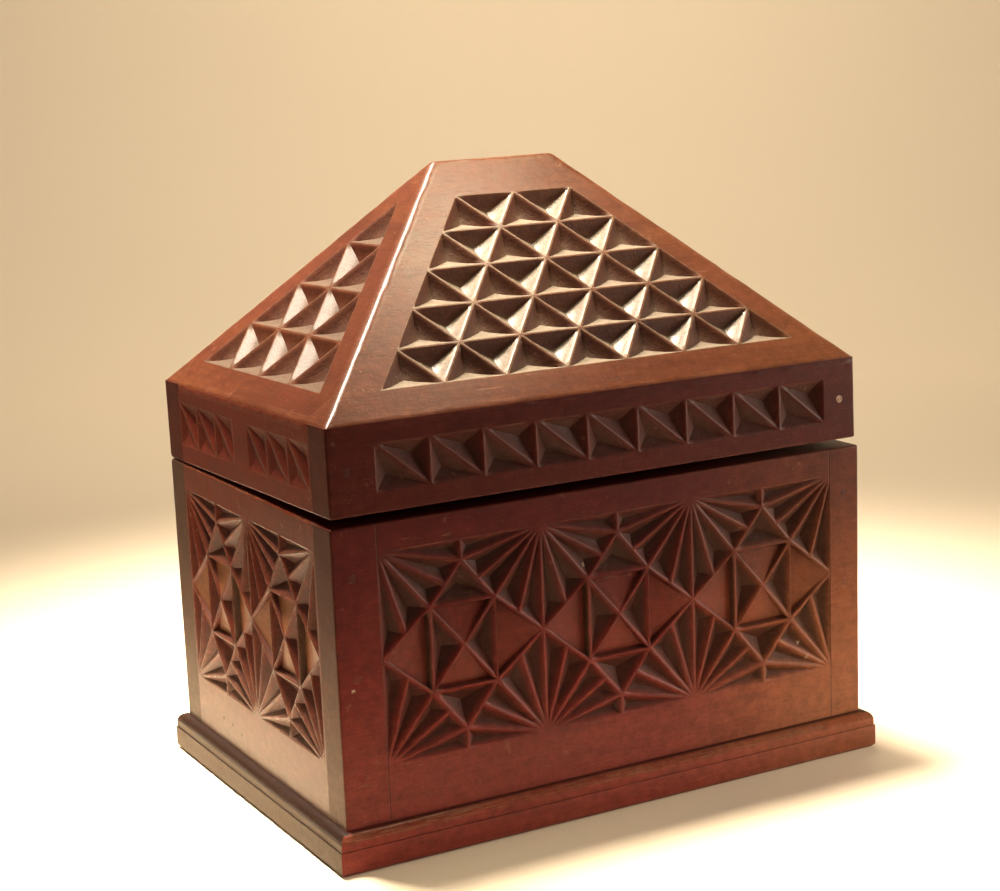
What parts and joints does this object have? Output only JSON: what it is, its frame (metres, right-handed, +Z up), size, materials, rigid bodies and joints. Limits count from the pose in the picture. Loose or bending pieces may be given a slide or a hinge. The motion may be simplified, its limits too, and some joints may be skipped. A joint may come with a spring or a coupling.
{
  "type": "carved wooden box",
  "caption": "Rectangular wooden box with chip-carved walls, a moulded base board and a hipped, carved lid that swings open on butt hinges at the back.",
  "frame": {"origin": "centre of the base board's underside", "axes": "+X to the right along the front, +Y to the back where the hinges are, +Z up"},
  "size_m": [0.208, 0.146, 0.212],
  "materials": {
    "wall_wood": "worn varnish on red-brown wood",
    "lid_wood": "worn varnish on red-brown wood",
    "base_wood": "worn varnish on red-brown wood",
    "brass": "dull, tarnished",
    "steel": "dull, darkened"
  },
  "bodies": {
    "case": {"base_board": "base_wood", "front_wall": "wall_wood", "back_wall": "wall_wood", "left_wall": "wall_wood", "right_wall": "wall_wood", "wall_pins": "steel", "base_screws": "steel", "hinge_case_leaf_left": "brass", "hinge_case_leaf_right": "brass", "hinge_pin_left": "brass", "hinge_pin_right": "brass", "hinge_case_screws": "brass"},
    "lid": {"rim_front": "lid_wood", "rim_back": "lid_wood", "rim_left": "lid_wood", "rim_right": "lid_wood", "rim_pins": "steel", "roof_front": "lid_wood", "roof_back": "lid_wood", "roof_left": "lid_wood", "roof_right": "lid_wood", "hinge_lid_leaf_left": "brass", "hinge_lid_leaf_right": "brass", "hinge_lid_screws": "brass"}
  },
  "joints": [
    {"name": "lid_hinge", "type": "hinge", "parent": "case", "child": "lid", "pos_m": [0, 0.0672, 0.1093], "axis": [-1, 0, 0], "range_deg": [0, 100]}
  ]
}
